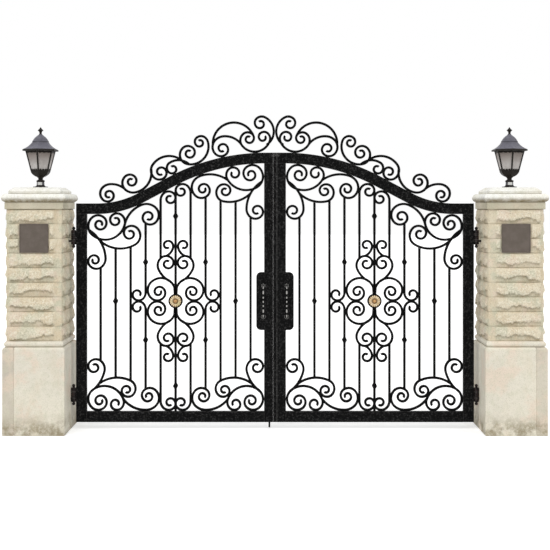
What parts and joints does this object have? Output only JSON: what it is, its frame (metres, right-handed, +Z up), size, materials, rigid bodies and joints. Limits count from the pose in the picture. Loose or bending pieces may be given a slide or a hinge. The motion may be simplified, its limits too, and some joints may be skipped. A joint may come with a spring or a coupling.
{
  "type": "wrought iron driveway gate",
  "caption": "Double swing driveway gate with an arched scrollwork top, carved scroll panels and rosettes, hung between stone pillars that carry lanterns.",
  "frame": {"origin": "on the ground, midway between the pillars and in the plane of the closed leaves", "axes": "+X from the left pillar to the right one, +Y into the drive behind the gate, +Z up"},
  "size_m": [4.892, 0.576, 2.8888],
  "materials": {
    "rock_faced_stone": "pale cream rock-faced limestone",
    "dressed_stone": "smooth dressed limestone",
    "plaque_bronze": "dull brown-grey bronze",
    "frosted_glass": "frosted, greyish beige",
    "lantern_metal": "charcoal, satin",
    "rosette_gilt": "gilt, satin",
    "ironwork_paint": "black, satin",
    "frame_paint": "black, satin, lightly mottled",
    "hardware_paint": "black, semi-gloss"
  },
  "bodies": {
    "pillars": {"left_lantern_bowl": "lantern_metal", "left_lantern_cage": "lantern_metal", "left_lantern_finial": "lantern_metal", "left_lantern_glass": "frosted_glass", "left_lantern_roof": "lantern_metal", "left_lantern_stand": "lantern_metal", "left_pillar_bead_course": "dressed_stone", "left_pillar_cap": "dressed_stone", "left_pillar_cap_slab": "dressed_stone", "left_pillar_hinge_pintles": "hardware_paint", "left_pillar_neck_course": "dressed_stone", "left_pillar_plaque": "plaque_bronze", "left_pillar_plinth": "rock_faced_stone", "left_pillar_shaft": "rock_faced_stone", "right_lantern_bowl": "lantern_metal", "right_lantern_cage": "lantern_metal", "right_lantern_finial": "lantern_metal", "right_lantern_glass": "frosted_glass", "right_lantern_roof": "lantern_metal", "right_lantern_stand": "lantern_metal", "right_pillar_bead_course": "dressed_stone", "right_pillar_cap": "dressed_stone", "right_pillar_cap_slab": "dressed_stone", "right_pillar_hinge_pintles": "hardware_paint", "right_pillar_neck_course": "dressed_stone", "right_pillar_plaque": "plaque_bronze", "right_pillar_plinth": "rock_faced_stone", "right_pillar_shaft": "rock_faced_stone"},
    "left_leaf": {"left_leaf_bottom_rail": "frame_paint", "left_leaf_bottom_scrolls": "ironwork_paint", "left_leaf_centre_scrolls": "ironwork_paint", "left_leaf_crest_scrolls": "ironwork_paint", "left_leaf_hinge_barrels": "hardware_paint", "left_leaf_hinge_stile": "frame_paint", "left_leaf_lock_plates": "hardware_paint", "left_leaf_meeting_stile": "frame_paint", "left_leaf_pickets": "ironwork_paint", "left_leaf_pull_handles": "hardware_paint", "left_leaf_rod_guides": "hardware_paint", "left_leaf_rosettes": "rosette_gilt", "left_leaf_top_rail": "frame_paint", "left_leaf_top_scrolls": "ironwork_paint"},
    "right_leaf": {"right_leaf_bottom_rail": "frame_paint", "right_leaf_bottom_scrolls": "ironwork_paint", "right_leaf_centre_scrolls": "ironwork_paint", "right_leaf_crest_scrolls": "ironwork_paint", "right_leaf_hinge_barrels": "hardware_paint", "right_leaf_hinge_stile": "frame_paint", "right_leaf_lock_plates": "hardware_paint", "right_leaf_meeting_bar": "frame_paint", "right_leaf_meeting_stile": "frame_paint", "right_leaf_pickets": "ironwork_paint", "right_leaf_pull_handles": "hardware_paint", "right_leaf_rosettes": "rosette_gilt", "right_leaf_top_rail": "frame_paint", "right_leaf_top_scrolls": "ironwork_paint"},
    "drop_rod": {"left_leaf_drop_rod": "hardware_paint"}
  },
  "joints": [
    {"name": "left_leaf_swing", "type": "hinge", "parent": "pillars", "child": "left_leaf", "pos_m": [-1.853, 0, 0], "axis": [0, 0, 1], "range_deg": [0, 90]},
    {"name": "right_leaf_swing", "type": "hinge", "parent": "pillars", "child": "right_leaf", "pos_m": [1.853, 0, 0], "axis": [0, 0, -1], "range_deg": [0, 90]},
    {"name": "drop_rod_slide", "type": "slide", "parent": "left_leaf", "child": "drop_rod", "axis": [0, 0, 1], "range_m": [0, 0.1]}
  ]
}
